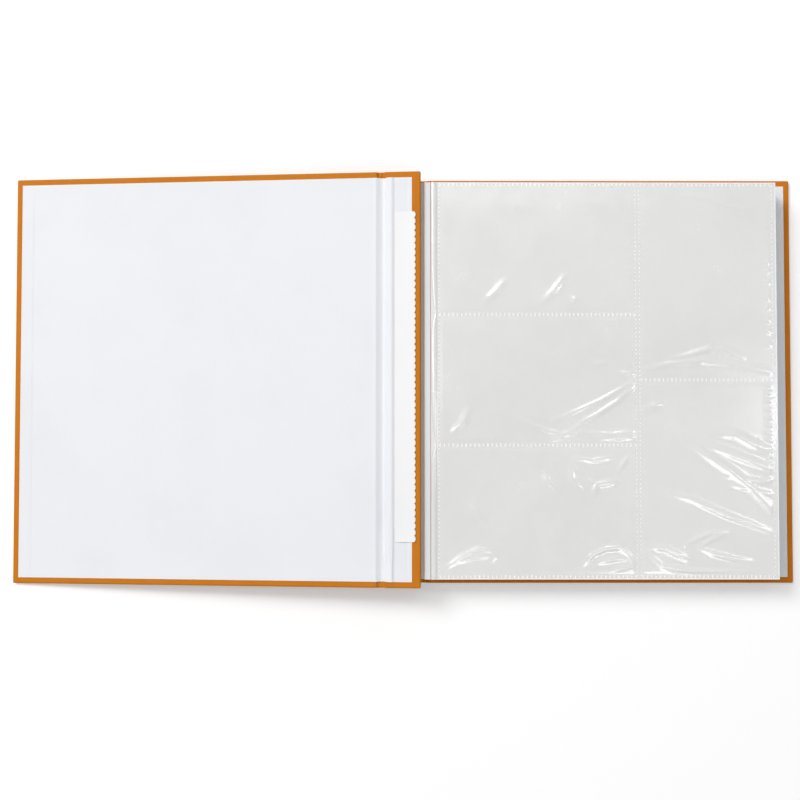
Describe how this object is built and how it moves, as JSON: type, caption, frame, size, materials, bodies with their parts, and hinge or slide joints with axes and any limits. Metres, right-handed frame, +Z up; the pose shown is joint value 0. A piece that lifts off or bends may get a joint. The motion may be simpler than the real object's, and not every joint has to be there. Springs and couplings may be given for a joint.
{
  "type": "photo album",
  "caption": "Hardback photo album lying open at its first page, with a folding two-part spine, a grooved front cover and turning leaves of clear welded photo pockets.",
  "frame": {"origin": "on the table, under the middle of the back cover", "axes": "+Z up, +X from the spine to the fore-edge of the pages, +Y towards the head of the album"},
  "size_m": [0.647, 0.336, 0.0363],
  "materials": {
    "orange_covering": "matt orange paper cloth with a fine grain",
    "greyboard": "raw greyboard",
    "white_lining": "smooth matt white paper",
    "white_tape": "white paper tape",
    "stub_card": "white card",
    "core_sheet": "white paper",
    "clear_film": "clear glossy film"
  },
  "bodies": {
    "back_case": {"back_board": "greyboard", "back_covering": "orange_covering", "back_lining": "white_lining", "back_groove_cloth": "orange_covering", "back_groove_lining": "white_lining", "lower_spine_board": "greyboard", "lower_spine_covering": "orange_covering", "lower_spine_lining": "white_lining", "crease_cloth": "orange_covering", "binding_stubs": "stub_card", "lower_leaf_films": "clear_film", "lower_leaf_cores": "core_sheet"},
    "spine_flap": {"upper_spine_board": "greyboard", "upper_spine_covering": "orange_covering", "upper_spine_lining": "white_lining", "pinked_tape": "white_tape", "upper_groove_cloth": "orange_covering", "upper_groove_lining": "white_lining", "groove_fold": "orange_covering"},
    "front_cover": {"front_groove_cloth": "orange_covering", "front_groove_lining": "white_lining", "front_board": "greyboard", "front_covering": "orange_covering", "front_lining": "white_lining"},
    "leaf_1": {"leaf_1_front_film": "clear_film", "leaf_1_core": "core_sheet", "leaf_1_back_film": "clear_film"},
    "leaf_2": {"leaf_2_front_film": "clear_film", "leaf_2_core": "core_sheet", "leaf_2_back_film": "clear_film"},
    "leaf_3": {"leaf_3_front_film": "clear_film", "leaf_3_core": "core_sheet", "leaf_3_back_film": "clear_film"},
    "leaf_4": {"leaf_4_front_film": "clear_film", "leaf_4_core": "core_sheet", "leaf_4_back_film": "clear_film"},
    "leaf_5": {"leaf_5_front_film": "clear_film", "leaf_5_core": "core_sheet", "leaf_5_back_film": "clear_film"},
    "leaf_6": {"leaf_6_front_film": "clear_film", "leaf_6_core": "core_sheet", "leaf_6_back_film": "clear_film"}
  },
  "joints": [
    {"name": "spine_fold", "type": "hinge", "parent": "back_case", "child": "spine_flap", "pos_m": [-0.162, 0, 0.032], "axis": [0, 1, 0], "range_deg": [0, 95]},
    {"name": "cover_groove", "type": "hinge", "parent": "spine_flap", "child": "front_cover", "pos_m": [-0.19025, 0, 0.03015], "axis": [0, 1, 0], "range_deg": [0, 95]},
    {"name": "leaf_6_turn", "type": "hinge", "parent": "back_case", "child": "leaf_6", "pos_m": [-0.1507, 0, 0.0306], "axis": [0, 1, 0], "range_deg": [-3, 0]},
    {"name": "leaf_5_turn", "type": "hinge", "parent": "leaf_6", "child": "leaf_5", "pos_m": [-0.1507, 0, 0.0306], "axis": [0, 1, 0], "range_deg": [-3, 0]},
    {"name": "leaf_4_turn", "type": "hinge", "parent": "leaf_5", "child": "leaf_4", "pos_m": [-0.1507, 0, 0.0306], "axis": [0, 1, 0], "range_deg": [-4, 0]},
    {"name": "leaf_3_turn", "type": "hinge", "parent": "leaf_4", "child": "leaf_3", "pos_m": [-0.1507, 0, 0.0306], "axis": [0, 1, 0], "range_deg": [-6, 0]},
    {"name": "leaf_2_turn", "type": "hinge", "parent": "leaf_3", "child": "leaf_2", "pos_m": [-0.1507, 0, 0.0306], "axis": [0, 1, 0], "range_deg": [-8, 0]},
    {"name": "leaf_1_turn", "type": "hinge", "parent": "leaf_2", "child": "leaf_1", "pos_m": [-0.1507, 0, 0.0306], "axis": [0, 1, 0], "range_deg": [-121, 0]}
  ]
}
